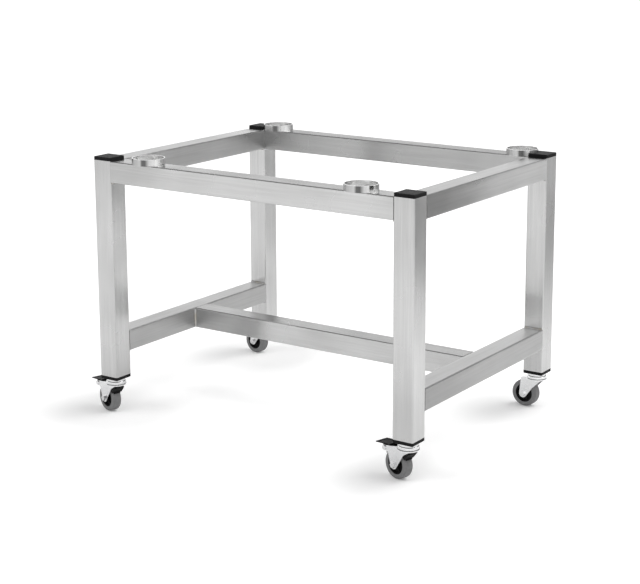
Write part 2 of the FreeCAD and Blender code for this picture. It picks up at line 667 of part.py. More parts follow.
def build_brake(end, side):
    """Pedal with its cam, the rivet that it turns on, and the strap that the cam presses on the tyre."""
    label = f"brake_pedal_{end}_{side}"
    body = new_body(label)
    half = "(Sizes.pedal_thickness / 2)"
    edge = "Sizes.pedal_edge_radius"
    tread = new_sketch(body, label + "_tread", "XZ_Plane")
    # The plate is drawn as a slim bar with round ends, a little thinner than its thickness at each end
    outline(
        tread,
        [
            (f"(Sizes.pedal_tip_reach - {edge})", f"({pedal_top('Sizes.pedal_tip_reach')} - {half})", edge),
            ("Sizes.pivot_reach", f"({pedal_top('Sizes.pivot_reach')} - {half})", half),
            (f"(Sizes.pedal_root_reach + {edge})", f"({pedal_top('Sizes.pedal_root_reach')} - {half})", edge),
        ],
    )
    pad(body, tread, "Sizes.pedal_width", middle=True)
    lobe_x = "(Sizes.pivot_reach + Sizes.lobe_reach * cos(Sizes.lobe_angle))"
    lobe_z = "(Sizes.pivot_height + Sizes.lobe_reach * sin(Sizes.lobe_angle))"
    web = new_sketch(body, label + "_web", "XZ_Plane")
    web_top = f"({pedal_top('Sizes.pivot_reach')} - {half})"
    outline(
        web,
        [
            (lobe_x, lobe_z, "Sizes.lobe_radius"),
            ("Sizes.pivot_reach", "Sizes.pivot_height", "Sizes.cam_radius"),
            ("(Sizes.pivot_reach + Sizes.web_half_length)", web_top, "Sizes.web_corner"),
            ("(Sizes.pivot_reach - Sizes.web_half_length)", web_top, "Sizes.web_corner"),
        ],
    )
    pad(body, web, "Sizes.fork_gap - 2 * Sizes.seat_clearance", middle=True)
    recess = new_sketch(body, label + "_recess", "XZ_Plane")
    far = "(Sizes.pedal_tip_reach - Sizes.recess_margin)"
    floor_near = f"({pedal_top('Sizes.recess_start')} - Sizes.recess_depth)"
    floor_far = f"({pedal_top(far)} - Sizes.recess_depth)"
    lift = "Sizes.pedal_thickness"
    soft = "Sizes.pedal_edge_radius / 4"
    outline(
        recess,
        [
            ("Sizes.recess_start", floor_near, soft),
            (far, floor_far, soft),
            (far, f"({floor_far} + {lift})", soft),
            ("Sizes.recess_start", f"({floor_near} + {lift})", soft),
        ],
    )
    pocket(body, recess, "Sizes.pedal_width - 2 * Sizes.recess_margin", middle=True)
    hole = new_sketch(body, label + "_hole", "XZ_Plane")
    circle(hole, "Sizes.pivot_radius + Sizes.running_clearance", "Sizes.pivot_reach", "Sizes.pivot_height")
    pocket(body, hole, f"Sizes.fork_gap + {OVERSHOOT}", middle=True)
    keep(on_castor(body, end, side), label)

    label = f"brake_rivet_{end}_{side}"
    at = {"x": "Sizes.pivot_reach", "z": "Sizes.pivot_height"}
    shank = cross_cylinder(label + "_shank", "Sizes.pivot_radius", f"2 * {CHEEK_FACE}", **at)
    heads = []
    for face, first in (("near", CHEEK_FACE), ("far", f"-({CHEEK_FACE} + Sizes.pivot_head_height)")):
        heads.append(cross_cylinder(f"{label}_{face}", "Sizes.pivot_head_radius", "Sizes.pivot_head_height", first_face=first, **at))
    keep(on_castor(fuse(label, [shank] + heads), end, side), label)

    label = f"brake_strap_{end}_{side}"
    inner = f"({WHEEL_RADIUS} + Sizes.strap_gap)"
    outer = f"({inner} + Sizes.strap_thickness)"
    band = cross_cylinder(label + "_band", outer, "Sizes.strap_width", "Sizes.castor_trail", WHEEL_RADIUS)
    shoe_body = new_body(label + "_shoe")
    shoe = new_sketch(shoe_body, label + "_shoe_side", "XZ_Plane")
    edge = "Sizes.shoe_corner"
    upper = f"(Sizes.shoe_top - {edge})"
    outline(
        shoe,
        [
            ("(Sizes.shoe_heel_reach + 2 * Sizes.shoe_corner)", f"(Sizes.shoe_toe_height + 4 * {edge})", edge),
            ("Sizes.shoe_heel_reach", upper, edge),
            (f"-(Sizes.shoe_nose_reach - {edge})", upper, edge),
            ("Sizes.shoe_toe_reach", f"(Sizes.shoe_toe_height + {edge})", edge),
        ],
    )
    pad(shoe_body, shoe, "Sizes.fork_gap - 2 * Sizes.seat_clearance", middle=True)
    wedge_body = new_body(label + "_wedge")
    wedge = new_sketch(wedge_body, label + "_wedge_side", "XZ_Plane")
    sharp = "Sizes.seat_clearance"
    # The strap keeps the part of its band that lies above the wheel, between the shoe and the cam
    outline(
        wedge,
        [
            ("Sizes.castor_trail", WHEEL_RADIUS, sharp),
            ("(Sizes.castor_trail + 2 * Sizes.strap_end_reach)", f"({WHEEL_RADIUS} + 2 * Sizes.strap_end_rise)", sharp),
            ("(Sizes.castor_trail + 2 * Sizes.strap_end_reach)", f"({WHEEL_RADIUS} + {OVERSHOOT} * 2)", sharp),
            (f"(Sizes.castor_trail - {OVERSHOOT} * 2)", f"({WHEEL_RADIUS} + {OVERSHOOT} * 2)", sharp),
            (f"(Sizes.castor_trail - {OVERSHOOT} * 2)", f"({WHEEL_RADIUS} + {OVERSHOOT})", sharp),
        ],
    )
    pad(wedge_body, wedge, "Sizes.strap_width + 10", middle=True)
    arc = doc.addObject("Part::Common", label + "_arc")
    arc.Base = band
    arc.Tool = wedge_body
    cavity = cross_cylinder(label + "_cavity", inner, f"Sizes.fork_gap + {OVERSHOOT}", "Sizes.castor_trail", WHEEL_RADIUS)
    keep(on_castor(cut(label, fuse(label + "_solid", [arc, shoe_body]), cavity), end, side), label)


def build_castor(end, side):
    build_stem(end, side)
    build_swivel_head(end, side)
    build_balls(end, side)
    build_fork(end, side)
    build_wheel(end, side)
    build_axle(end, side)
    if end == "front":
        build_brake(end, side)


def check_document():
    """Stops if an object failed to build or a piece isn't a valid solid."""
    for thing in doc.Objects:
        if "Invalid" in thing.State or "Error" in thing.State:
            raise RuntimeError(f"{thing.Label} failed: {thing.State}")
    for piece in subparts:
        if piece.Shape.isNull() or not piece.Shape.isValid() or not piece.Shape.Solids:
            raise RuntimeError(f"{piece.Label} has no valid solid")


def export_subparts():
    os.makedirs("parts", exist_ok=True)
    for piece in subparts:
        piece.Shape.exportStep(f"parts/{piece.Label}.step")
        print(f"{piece.Label}: {len(piece.Shape.Solids)} solid(s), {piece.Shape.Volume:.0f} mm3")


build_frame()
build_weld_beads()
for end in ENDS:
    for side in SIDES:
        build_top_plug(end, side)
        build_stem_socket(end, side)
        build_foot_ring(end, side)
        build_castor(end, side)
doc.recompute()
check_document()
export_subparts()
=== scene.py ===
# %% [markdown]
# # A low oven stand on swivel castors
#
# The stand is welded from square stainless tube. Black plastic plugs close its legs, four rings on top
# hold the feet of an oven, and four small castors carry it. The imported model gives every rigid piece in
# metres with all its forms, so this script only dresses those pieces with finishes, and sets up the
# floor, the light and the camera.

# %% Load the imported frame
import math

import bmesh
import bpy
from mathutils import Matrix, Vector

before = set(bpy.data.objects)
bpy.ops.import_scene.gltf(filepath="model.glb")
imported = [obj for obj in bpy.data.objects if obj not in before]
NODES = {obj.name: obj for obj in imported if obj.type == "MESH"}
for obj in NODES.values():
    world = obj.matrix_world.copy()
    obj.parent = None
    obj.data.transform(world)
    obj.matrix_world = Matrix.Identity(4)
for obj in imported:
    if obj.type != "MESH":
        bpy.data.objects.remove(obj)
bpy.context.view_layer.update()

# %% [markdown]
# ## Small helpers for shader nodes
#
# Every finish here is a graph of nodes. A tree could be built link by link in each material, but the
# same steps come back each time: add a node, set its plain values, and join sockets. One helper adds a
# node with its values, others make a step of arithmetic, a change from one number to another, or a mix
# of two colours. So each finish reads as a short list of what it mixes. A last helper gives a finish to
# every piece whose name starts in a certain way, and says how many it found.

# %% Node helpers


def add_node(tree, kind, place=(0, 0), **values):
    """Adds a node. Values whose name is a socket are set on that socket, the others on the node."""
    node = tree.nodes.new(kind)
    node.location = place
    for name, value in values.items():
        label = name.replace("_", " ")
        if label in node.inputs:
            node.inputs[label].default_value = value
        else:
            setattr(node, name, value)
    return node


def work_out(tree, operation, first, second, place=(0, 0)):
    """One step of arithmetic between two sockets or numbers. Gives back the socket with the result."""
    node = add_node(tree, "ShaderNodeMath", place, operation=operation)
    for slot, value in enumerate((first, second)):
        if isinstance(value, (int, float)):
            node.inputs[slot].default_value = value
        else:
            tree.links.new(value, node.inputs[slot])
    return node.outputs[0]


def change(tree, value, low, high, low_out, high_out, place, kind="LINEAR"):
    """A change from one number to another as a value rises, straight or smooth."""
    step = add_node(tree, "ShaderNodeMapRange", place, interpolation_type=kind)
    for label, number in zip(("From Min", "From Max", "To Min", "To Max"), (low, high, low_out, high_out)):
        step.inputs[label].default_value = number
    tree.links.new(value, step.inputs["Value"])
    return step.outputs[0]


def soft_step(tree, value, low, high, low_out, high_out, place):
    """A change that starts and ends softly."""
    return change(tree, value, low, high, low_out, high_out, place, kind="SMOOTHSTEP")


def mix_colours(tree, share, first, second, place):
    """Mixes two colours, each a socket or a plain colour, by a share from 0 to 1."""
    node = add_node(tree, "ShaderNodeMix", place, data_type="RGBA")
    tree.links.new(share, node.inputs[0])
    for slot, colour in ((6, first), (7, second)):
        if isinstance(colour, tuple):
            node.inputs[slot].default_value = colour
        else:
            tree.links.new(colour, node.inputs[slot])
    return node.outputs[2]


def mix_values(tree, share, first, second, place):
    """Mixes two numbers, each a socket or a plain number, by a share from 0 to 1."""
    node = add_node(tree, "ShaderNodeMix", place, data_type="FLOAT")
    for slot, value in ((0, share), (2, first), (3, second)):
        if isinstance(value, (int, float)):
            node.inputs[slot].default_value = value
        else:
            tree.links.new(value, node.inputs[slot])
    return node.outputs[0]


def scaled(tree, colour, share, place):
    """A colour times a number."""
    node = add_node(tree, "ShaderNodeVectorMath", place, operation="SCALE")
    tree.links.new(colour, node.inputs[0])
    tree.links.new(share, node.inputs["Scale"])
    return node.outputs[0]

# %% Group and material helpers


def new_group(name, takes, gives):
    """An empty node group with named inputs (kind, start value) and named outputs (kind)."""
    tree = bpy.data.node_groups.new(name, "ShaderNodeTree")
    for label, (kind, start) in takes.items():
        socket = tree.interface.new_socket(label, in_out="INPUT", socket_type=kind)
        socket.default_value = start
    for label, kind in gives.items():
        tree.interface.new_socket(label, in_out="OUTPUT", socket_type=kind)
    entry = add_node(tree, "NodeGroupInput", (-900, 0))
    leave = add_node(tree, "NodeGroupOutput", (700, 0))
    return tree, entry, leave


def place_group(tree, group, place, **values):
    """Places a node group in a material, with that material's own values."""
    node = add_node(tree, "ShaderNodeGroup", place, node_tree=group)
    for name, value in values.items():
        node.inputs[name.replace("_", " ")].default_value = value
    return node


def new_material(name):
    """A material with one Principled BSDF, and the position on the object as its coordinates."""
    material = bpy.data.materials.new(name)
    material.use_nodes = True
    tree = material.node_tree
    shader = tree.nodes["Principled BSDF"]
    where = add_node(tree, "ShaderNodeTexCoord", (-1300, 0))
    return material, tree, shader, where.outputs["Object"]


def finish_surface(tree, shader, colour, rough, height, strength, distance):
    """Gives a shader its colour, its roughness and a bump."""
    bump = add_node(tree, "ShaderNodeBump", (-400, -350), Strength=strength, Distance=distance)
    tree.links.new(height, bump.inputs["Height"])
    tree.links.new(colour, shader.inputs["Base Color"])
    tree.links.new(rough, shader.inputs["Roughness"])
    tree.links.new(bump.outputs[0], shader.inputs["Normal"])


def dress(prefixes, material):
    """Gives one material to every CAD node whose name starts in one of these ways."""
    chosen = [name for name in NODES if name.startswith(prefixes)]
    for name in chosen:
        mesh = NODES[name].data
        mesh.materials.clear()
        mesh.materials.append(material)
    print(f"{material.name}: {len(chosen)} pieces")

# %% [markdown]
# ## Brushed grain, a group for every steel surface
#
# Satin stainless steel is ground with a belt. The belt leaves hair-thin scratches along the tube and
# the steel keeps broad, faint clouds where it was polished unevenly. A picture of scratches would
# repeat and stretch, so noise is stretched instead: the Stretch input says how dense it is along each
# axis, high across the scratches and low along them. Noise is built on a grid whose planes could show
# where they lie flat on a tube, so the grid is turned after the stretch. The group puts out a mask for
# the scratches, a mask for the clouds, and a height for a bump. The height comes from the broader lines
# only, because a bump finer than the picture's own dots draws false arcs.

# %% Brushed grain
GRID_TURN = (0.5, 0.9, 0.3)
BROAD_LINES = 0.22
BANDS_SHARE = 0.4


def build_brushed_grain():
    tree, entry, leave = new_group(
        "brushed_grain",
        {
            "Vector": ("NodeSocketVector", (0.0, 0.0, 0.0)),
            "Stretch": ("NodeSocketVector", (900.0, 900.0, 12.0)),
            "Cloud Scale": ("NodeSocketFloat", 9.0),
        },
        {"Scratches": "NodeSocketFloat", "Clouds": "NodeSocketFloat", "Height": "NodeSocketFloat"},
    )
    stretched = add_node(tree, "ShaderNodeVectorMath", (-650, 150), operation="MULTIPLY")
    turned = add_node(tree, "ShaderNodeMapping", (-550, 150))
    turned.inputs["Rotation"].default_value = GRID_TURN
    noise = {"Scale": 1.0, "Distortion": 0.8}
    fine = add_node(tree, "ShaderNodeTexNoise", (-450, 250), Detail=1.0, Roughness=0.6, **noise)
    broad_lines = add_node(tree, "ShaderNodeVectorMath", (-450, 0), operation="SCALE")
    broad_lines.inputs["Scale"].default_value = BROAD_LINES
    bands = add_node(tree, "ShaderNodeTexNoise", (-250, 0), Detail=2.0, Roughness=0.5, **noise)
    clouds = add_node(tree, "ShaderNodeTexNoise", (-450, -250), Detail=2.0, Roughness=0.45)
    links = tree.links
    links.new(entry.outputs["Vector"], stretched.inputs[0])
    links.new(entry.outputs["Stretch"], stretched.inputs[1])
    links.new(stretched.outputs[0], turned.inputs["Vector"])
    links.new(turned.outputs[0], fine.inputs["Vector"])
    links.new(turned.outputs[0], broad_lines.inputs[0])
    links.new(broad_lines.outputs[0], bands.inputs["Vector"])
    links.new(entry.outputs["Vector"], clouds.inputs["Vector"])
    links.new(entry.outputs["Cloud Scale"], clouds.inputs["Scale"])
    scratches = mix_values(tree, BANDS_SHARE, fine.outputs["Fac"], bands.outputs["Fac"], (0, 150))
    links.new(scratches, leave.inputs["Scratches"])
    links.new(clouds.outputs["Fac"], leave.inputs["Clouds"])
    links.new(bands.outputs["Fac"], leave.inputs["Height"])
    return tree


BRUSHED_GRAIN = build_brushed_grain()
print("group:", BRUSHED_GRAIN.name)

# %% [markdown]
# ## Satin stainless steel
#
# One grade of steel is used for the whole frame, but each tube was ground along its own length, so a
# leg, a long rail and a side rail need the scratches turned three ways. One function makes each steel
# from the axis that its scratches follow. The clouds move the roughness, because a spot that is
# polished more is a spot that mirrors more. Scratches also stretch every reflection across themselves
# and leave it sharp along themselves: a leg mirrored in a rail keeps its upright edges and loses its
# ends. The shader does that with its Anisotropic value, once its tangent runs round the scratches' axis.
# The side rails were ground more coarsely than the rest. The rails and stretchers get painted light and
# shade of their own, shares that multiply their colour: one for the upper face, and one for the sides at
# either end. The two on the left share theirs.

# %% Shine and painted shades of a tube
STRETCHED_SHINE = 0.95
SHADE_RUN = {"X": (-0.29, -0.10), "Y": (-0.20, 0.04)}
FACES_UP = (0.3, 0.8)


def brushed_highlight(tree, shader, axis, amount):
    """Stretches reflections across scratches that follow an axis, with a tangent that runs round it."""
    round_axis = add_node(tree, "ShaderNodeTangent", (-400, -550), direction_type="RADIAL", axis=axis)
    tree.links.new(round_axis.outputs["Tangent"], shader.inputs["Tangent"])
    shader.inputs["Anisotropic"].default_value = amount


def shade_faces(tree, where, axis, colour, tops, side_start, side_end):
    """Paints light and shade on a tube along X or Y: makes its upper face and side faces lighter or darker.
    """
    spot = add_node(tree, "ShaderNodeSeparateXYZ", (-900, 550))
    facing = add_node(tree, "ShaderNodeSeparateXYZ", (-900, 750))
    tree.links.new(where, spot.inputs[0])
    tree.links.new(where.node.outputs["Normal"], facing.inputs[0])
    sides = soft_step(tree, spot.outputs[axis], *SHADE_RUN[axis], side_start, side_end, (-700, 550))
    upward = soft_step(tree, facing.outputs["Z"], *FACES_UP, 0.0, 1.0, (-700, 750))
    share = mix_values(tree, upward, sides, tops, (-500, 600))
    return scaled(tree, colour, share, (-250, 400))

# %% Steel materials
ALONG = 6.0
ACROSS = 230.0
STEEL_DARK = (0.55, 0.55, 0.548, 1.0)
STEEL_LIGHT = (0.77, 0.77, 0.768, 1.0)
STREAK_WEIGHT = 1.2
CLOUD_WEIGHT = 1.3
EVEN_TONE = 0.75
NOISE_SPAN = (0.3, 0.7)
FINE_GRIND = (0.21, 0.29)
COARSE_GRIND = (0.27, 0.36)


def steel(name, axis, grind, shades=None):
    """Satin steel whose scratches follow one axis of the stand."""
    material, tree, shader, where = new_material(name)
    stretch = [ACROSS, ACROSS, ACROSS]
    stretch["XYZ".index(axis)] = ALONG
    grain = place_group(tree, BRUSHED_GRAIN, (-1000, 0), Stretch=stretch, Cloud_Scale=9.0)
    tree.links.new(where, grain.inputs["Vector"])
    streaks = work_out(tree, "MULTIPLY", grain.outputs["Scratches"], STREAK_WEIGHT, (-800, 250))
    patches = work_out(tree, "MULTIPLY", grain.outputs["Clouds"], CLOUD_WEIGHT, (-800, 50))
    tone = work_out(tree, "ADD", streaks, patches, (-650, 200))
    tone = work_out(tree, "SUBTRACT", tone, EVEN_TONE, (-550, 200))
    colour = mix_colours(tree, tone, STEEL_DARK, STEEL_LIGHT, (-400, 200))
    # Painted light and shade: shares for the upper face and the sides multiply the colour.
    if shades:
        colour = shade_faces(tree, where, axis, colour, *shades)
    rough = change(tree, grain.outputs["Clouds"], *NOISE_SPAN, *grind, (-400, -50))
    finish_surface(tree, shader, colour, rough, grain.outputs["Height"], 0.25, 0.0001)
    brushed_highlight(tree, shader, axis, STRETCHED_SHINE)
    shader.inputs["Metallic"].default_value = 1.0
    return material

# %% Steel on its tubes
dress("leg_", steel("satin_steel_upright", "Z", FINE_GRIND))
# Painted light and shade of each tube: upper face, sides at the start, sides at the end.
for nodes, label, axis, grind, shades in (
    ("top_rail_front", "front_rail", "X", FINE_GRIND, (1.0, 0.90, 1.0)),
    ("top_rail_rear", "rear_rail", "X", FINE_GRIND, (0.93, 0.56, 0.78)),
    ("centre_stretcher", "centre_stretcher", "X", FINE_GRIND, (1.0, 0.68, 1.0)),
    (("top_rail_left", "side_stretcher_left"), "left_side", "Y", COARSE_GRIND, (1.27, 0.82, 0.82)),
    ("top_rail_right", "right_rail", "Y", COARSE_GRIND, (0.93, 0.62, 1.22)),
    ("side_stretcher_right", "right_stretcher", "Y", COARSE_GRIND, (1.05, 0.66, 0.86)),
):
    dress(nodes, steel("satin_steel_" + label, axis, grind, shades))

# %% [markdown]
# ## Turned rings and weld beads
#
# The rings were sliced off a pipe and polished on a lathe, so their scratches run round and round.
# Round the ring the height never changes, so the same group with dense noise along Z and open noise
# along X and Y draws them. A ring mirrors the room as upright bands of dark and light. The room here is
# plain white, so the bands are a painted reflection: they multiply the colour of the outer wall, by the
# direction that the wall faces. The beads are bare weld metal: rougher, and a little blue and straw
# coloured from the heat.

# %% Painted reflection bands on the ring walls
BAND_DIRECTION = (0.834, 0.552, 0.0)
# Stops of the painted reflection bands: place across the wall's direction, and brightness.
BANDS = (
    (0.0, 0.32), (0.12, 0.56), (0.30, 0.66), (0.36, 0.18), (0.46, 0.18),
    (0.57, 0.80), (0.70, 0.98), (0.88, 0.92), (0.97, 0.42),
)
PLAIN_RING = 0.98
FACES_OUT = (0.1, 0.35)


def painted_reflection_bands(tree, where):
    """A painted reflection: a brightness for a ring's outer wall that changes with the direction it faces.
    """
    level = add_node(tree, "ShaderNodeVectorMath", (-1100, 600), operation="MULTIPLY")
    level.inputs[1].default_value = (1.0, 1.0, 0.0)
    across = add_node(tree, "ShaderNodeVectorMath", (-900, 600), operation="DOT_PRODUCT")
    across.inputs[1].default_value = BAND_DIRECTION
    centred = add_node(tree, "ShaderNodeVectorMath", (-1100, 850), operation="SUBTRACT")
    centred.inputs[1].default_value = (0.5, 0.5, 0.5)
    outward = add_node(tree, "ShaderNodeVectorMath", (-900, 850), operation="DOT_PRODUCT")
    links = tree.links
    links.new(where.node.outputs["Normal"], level.inputs[0])
    links.new(where.node.outputs["Generated"], centred.inputs[0])
    links.new(level.outputs[0], across.inputs[0])
    links.new(level.outputs[0], outward.inputs[0])
    links.new(centred.outputs[0], outward.inputs[1])
    outer = soft_step(tree, outward.outputs["Value"], *FACES_OUT, 0.0, 1.0, (-700, 850))
    bands = change(tree, across.outputs["Value"], -1.0, 1.0, 0.0, 1.0, (-700, 600))
    ramp = add_node(tree, "ShaderNodeValToRGB", (-500, 600))
    stops = ramp.color_ramp.elements
    while len(stops) < len(BANDS):
        stops.new(0.5)
    for stop, (place, value) in zip(stops, BANDS):
        stop.position = place
        stop.color = (value, value, value, 1.0)
    links.new(bands, ramp.inputs["Fac"])
    return mix_values(tree, outer, PLAIN_RING, ramp.outputs["Color"], (-200, 600))

# %% Ring steel and bead steel
RING_DARK = (0.86, 0.86, 0.858, 1.0)
RING_LIGHT = (1.0, 1.0, 0.998, 1.0)
RING_ROUGH = (0.14, 0.24)
BEAD_STRAW = (0.50, 0.47, 0.42, 1.0)
BEAD_BLUE = (0.60, 0.61, 0.63, 1.0)
BEAD_SPAN = (0.35, 0.65)
BEAD_ROUGH = (0.30, 0.50)


def ring_steel():
    material, tree, shader, where = new_material("turned_ring_steel")
    grain = place_group(tree, BRUSHED_GRAIN, (-1000, 0), Stretch=(30.0, 30.0, 700.0), Cloud_Scale=30.0)
    tree.links.new(where, grain.inputs["Vector"])
    colour = mix_colours(tree, grain.outputs["Scratches"], RING_DARK, RING_LIGHT, (-400, 200))
    # Painted reflection: the bands multiply the ring's colour.
    colour = scaled(tree, colour, painted_reflection_bands(tree, where), (-200, 300))
    rough = change(tree, grain.outputs["Clouds"], 0.0, 1.0, *RING_ROUGH, (-400, -50))
    finish_surface(tree, shader, colour, rough, grain.outputs["Height"], 0.08, 0.00008)
    shader.inputs["Metallic"].default_value = 1.0
    return material


def bead_steel():
    material, tree, shader, where = new_material("weld_bead_steel")
    grain = place_group(tree, BRUSHED_GRAIN, (-1000, 0), Stretch=(700.0, 700.0, 700.0), Cloud_Scale=90.0)
    tree.links.new(where, grain.inputs["Vector"])
    heat = change(tree, grain.outputs["Clouds"], *BEAD_SPAN, 0.0, 1.0, (-600, 200))
    tint = mix_colours(tree, heat, BEAD_STRAW, BEAD_BLUE, (-400, 200))
    rough = change(tree, grain.outputs["Scratches"], 0.0, 1.0, *BEAD_ROUGH, (-400, -50))
    tree.links.new(tint, shader.inputs["Base Color"])
    tree.links.new(rough, shader.inputs["Roughness"])
    shader.inputs["Metallic"].default_value = 1.0
    return material


dress("foot_ring", ring_steel())
dress("weld_beads", bead_steel())

# %% [markdown]
# ## Moulded grain, a group for plastic and rubber
#
# Moulded parts come out of a spark-eroded tool with a fine matt grain, and in use they gather dust
# and light scuffs. The group gives a bump height for the grain, and a mask that is white where dust
# lies: on faces that look up, broken by noise. It reads the surface's own direction and not the
# camera's, so the dust stays where it is from every side.

# %% Moulded grain
DUSTY_TILT = (0.1, 1.0)


def build_moulded_grain():
    tree, entry, leave = new_group(
        "moulded_grain",
        {
            "Vector": ("NodeSocketVector", (0.0, 0.0, 0.0)),
            "Grain Scale": ("NodeSocketFloat", 1800.0),
            "Dust Scale": ("NodeSocketFloat", 160.0),
        },
        {"Height": "NodeSocketFloat", "Dust": "NodeSocketFloat", "Mottle": "NodeSocketFloat"},
    )
    grain = add_node(tree, "ShaderNodeTexNoise", (-500, 300), Detail=3.0, Roughness=0.6)
    patches = add_node(tree, "ShaderNodeTexNoise", (-500, 0), Detail=4.0, Roughness=0.6)
    facing = add_node(tree, "ShaderNodeNewGeometry", (-700, -250))
    split = add_node(tree, "ShaderNodeSeparateXYZ", (-500, -250))
    links = tree.links
    links.new(entry.outputs["Vector"], grain.inputs["Vector"])
    links.new(entry.outputs["Grain Scale"], grain.inputs["Scale"])
    links.new(entry.outputs["Vector"], patches.inputs["Vector"])
    links.new(entry.outputs["Dust Scale"], patches.inputs["Scale"])
    links.new(facing.outputs["Normal"], split.inputs[0])
    upward = change(tree, split.outputs["Z"], *DUSTY_TILT, 0.0, 1.0, (-300, -250))
    dust = work_out(tree, "MULTIPLY", upward, patches.outputs["Fac"], (-50, -100))
    links.new(grain.outputs["Fac"], leave.inputs["Height"])
    links.new(dust, leave.inputs["Dust"])
    links.new(patches.outputs["Fac"], leave.inputs["Mottle"])
    return tree


MOULDED_GRAIN = build_moulded_grain()
print("group:", MOULDED_GRAIN.name)

# %% [markdown]
# ## Black plastic, and grey rubber
#
# The plugs, the wheel cores and the pedals are black nylon or polypropylene. Nearly black is never
# quite black: a base of about one per cent lets the form read, and the dust lifts faces that look up.
# Plastic seen at a low angle shines more than its colour does, and a grained surface less than a smooth
# one, so the shine is turned down. The tyre is a grey thermoplastic rubber that doesn't mark floors,
# matt, with paler scuffing. All are the same recipe with other numbers, so one function makes them. The
# flat middle of a top plug gets a painted sheen, a paler grey on its upward face, found by how far a
# point lies from the leg's middle.

# %% Moulded surface


def moulded(name, colours, rough_span, shine=0.15, grain_scale=1200.0):
    """A moulded surface from its base, scuffed and dust colours, its roughness and its strength of shine."""
    base, scuffed, dust = colours
    material, tree, shader, where = new_material(name)
    grain = place_group(tree, MOULDED_GRAIN, (-1000, 0), Grain_Scale=grain_scale)
    tree.links.new(where, grain.inputs["Vector"])
    worn = mix_colours(tree, grain.outputs["Mottle"], base, scuffed, (-600, 250))
    dusty = mix_colours(tree, grain.outputs["Dust"], worn, dust, (-350, 250))
    rough = change(tree, grain.outputs["Mottle"], *NOISE_SPAN, *rough_span, (-400, -50))
    finish_surface(tree, shader, dusty, rough, grain.outputs["Height"], 0.12, 0.0003)
    shader.inputs["Specular IOR Level"].default_value = shine
    return material

# %% Painted sheen on the plates of the top plugs
LEG_X = 0.325
LEG_Y = 0.235
PLATE_HALF = 0.0150
PLATE_EDGE = 0.0008
ABOVE_LEGS = (0.4885, 0.4895)
FACES_STRAIGHT_UP = (0.7, 0.95)
PLATE_STRENGTH = 0.85
PLATE_SHEEN_GREY = (0.030, 0.030, 0.031, 1.0)


def plug_plate_sheen(material):
    """Paints a sheen, a paler grey, on the flat middle of each top plug, inside the shiny raised rim."""
    tree = material.node_tree
    shader = tree.nodes["Principled BSDF"]
    where = add_node(tree, "ShaderNodeTexCoord", (-1700, 700))
    split = add_node(tree, "ShaderNodeSeparateXYZ", (-1500, 700))
    tree.links.new(where.outputs["Object"], split.inputs[0])
    across = []
    for axis, middle, row in (("X", LEG_X, 800), ("Y", LEG_Y, 600)):
        side = work_out(tree, "ABSOLUTE", split.outputs[axis], 0.0, (-1300, row))
        from_middle = work_out(tree, "SUBTRACT", side, middle, (-1100, row))
        across.append(work_out(tree, "ABSOLUTE", from_middle, 0.0, (-900, row)))
    reach = work_out(tree, "MAXIMUM", across[0], across[1], (-700, 700))
    plate = soft_step(tree, reach, PLATE_HALF - PLATE_EDGE, PLATE_HALF + PLATE_EDGE, 1.0, 0.0, (-500, 700))
    high = soft_step(tree, split.outputs["Z"], *ABOVE_LEGS, 0.0, 1.0, (-500, 500))
    facing = add_node(tree, "ShaderNodeNewGeometry", (-900, 400))
    tilt = add_node(tree, "ShaderNodeSeparateXYZ", (-700, 400))
    tree.links.new(facing.outputs["Normal"], tilt.inputs[0])
    upward = soft_step(tree, tilt.outputs["Z"], *FACES_STRAIGHT_UP, 0.0, 1.0, (-500, 300))
    mask = work_out(tree, "MULTIPLY", plate, high, (-300, 600))
    mask = work_out(tree, "MULTIPLY", mask, upward, (-100, 600))
    mask = work_out(tree, "MULTIPLY", mask, PLATE_STRENGTH, (50, 600))
    plain = shader.inputs["Base Color"].links[0].from_socket
    # Painted sheen: the upward face of the plate turns a paler grey.
    grey = mix_colours(tree, mask, plain, PLATE_SHEEN_GREY, (-50, 350))
    tree.links.new(grey, shader.inputs["Base Color"])
    return material

# %% Plastic and rubber on their pieces
PLUG_COLOURS = (0.0045, 0.0045, 0.005, 1), (0.008, 0.008, 0.0085, 1), (0.016, 0.016, 0.0165, 1)
PEDAL_COLOURS = (0.005, 0.005, 0.0055, 1), (0.010, 0.010, 0.0105, 1), (0.020, 0.020, 0.0205, 1)
CORE_COLOURS = (0.003, 0.003, 0.0033, 1), (0.006, 0.006, 0.0065, 1), (0.010, 0.010, 0.0105, 1)
TYRE_COLOURS = (0.15, 0.15, 0.152, 1), (0.25, 0.25, 0.253, 1), (0.28, 0.28, 0.28, 1)
dress(("top_plug", "stem_socket"), plug_plate_sheen(moulded("plug_plastic", PLUG_COLOURS, (0.50, 0.62))))
dress("brake_pedal", moulded("pedal_plastic", PEDAL_COLOURS, (0.45, 0.58)))
dress(("wheel_core", "brake_strap"), moulded("wheel_core_plastic", CORE_COLOURS, (0.50, 0.62)))
dress("tyre", moulded("grey_tyre_rubber", TYRE_COLOURS, (0.55, 0.72), shine=0.3, grain_scale=900.0))

# %% [markdown]
# ## Zinc plate, and bright rivets
#
# The forks and swivel heads are pressed from sheet and plated with zinc. Bright zinc is more of a
# mirror than brushed steel, with a faint bluish spangle and a milky bloom in places. The axle, the
# brake's rivet and the balls are turned steel, cleaner and a little darker.

# %% Zinc and rivet materials
ZINC_TONES = (0.80, 0.805, 0.815, 1), (0.95, 0.95, 0.955, 1)
RIVET_TONES = (0.78, 0.78, 0.79, 1), (0.94, 0.94, 0.94, 1)
BLOOM_SHARE = 0.6


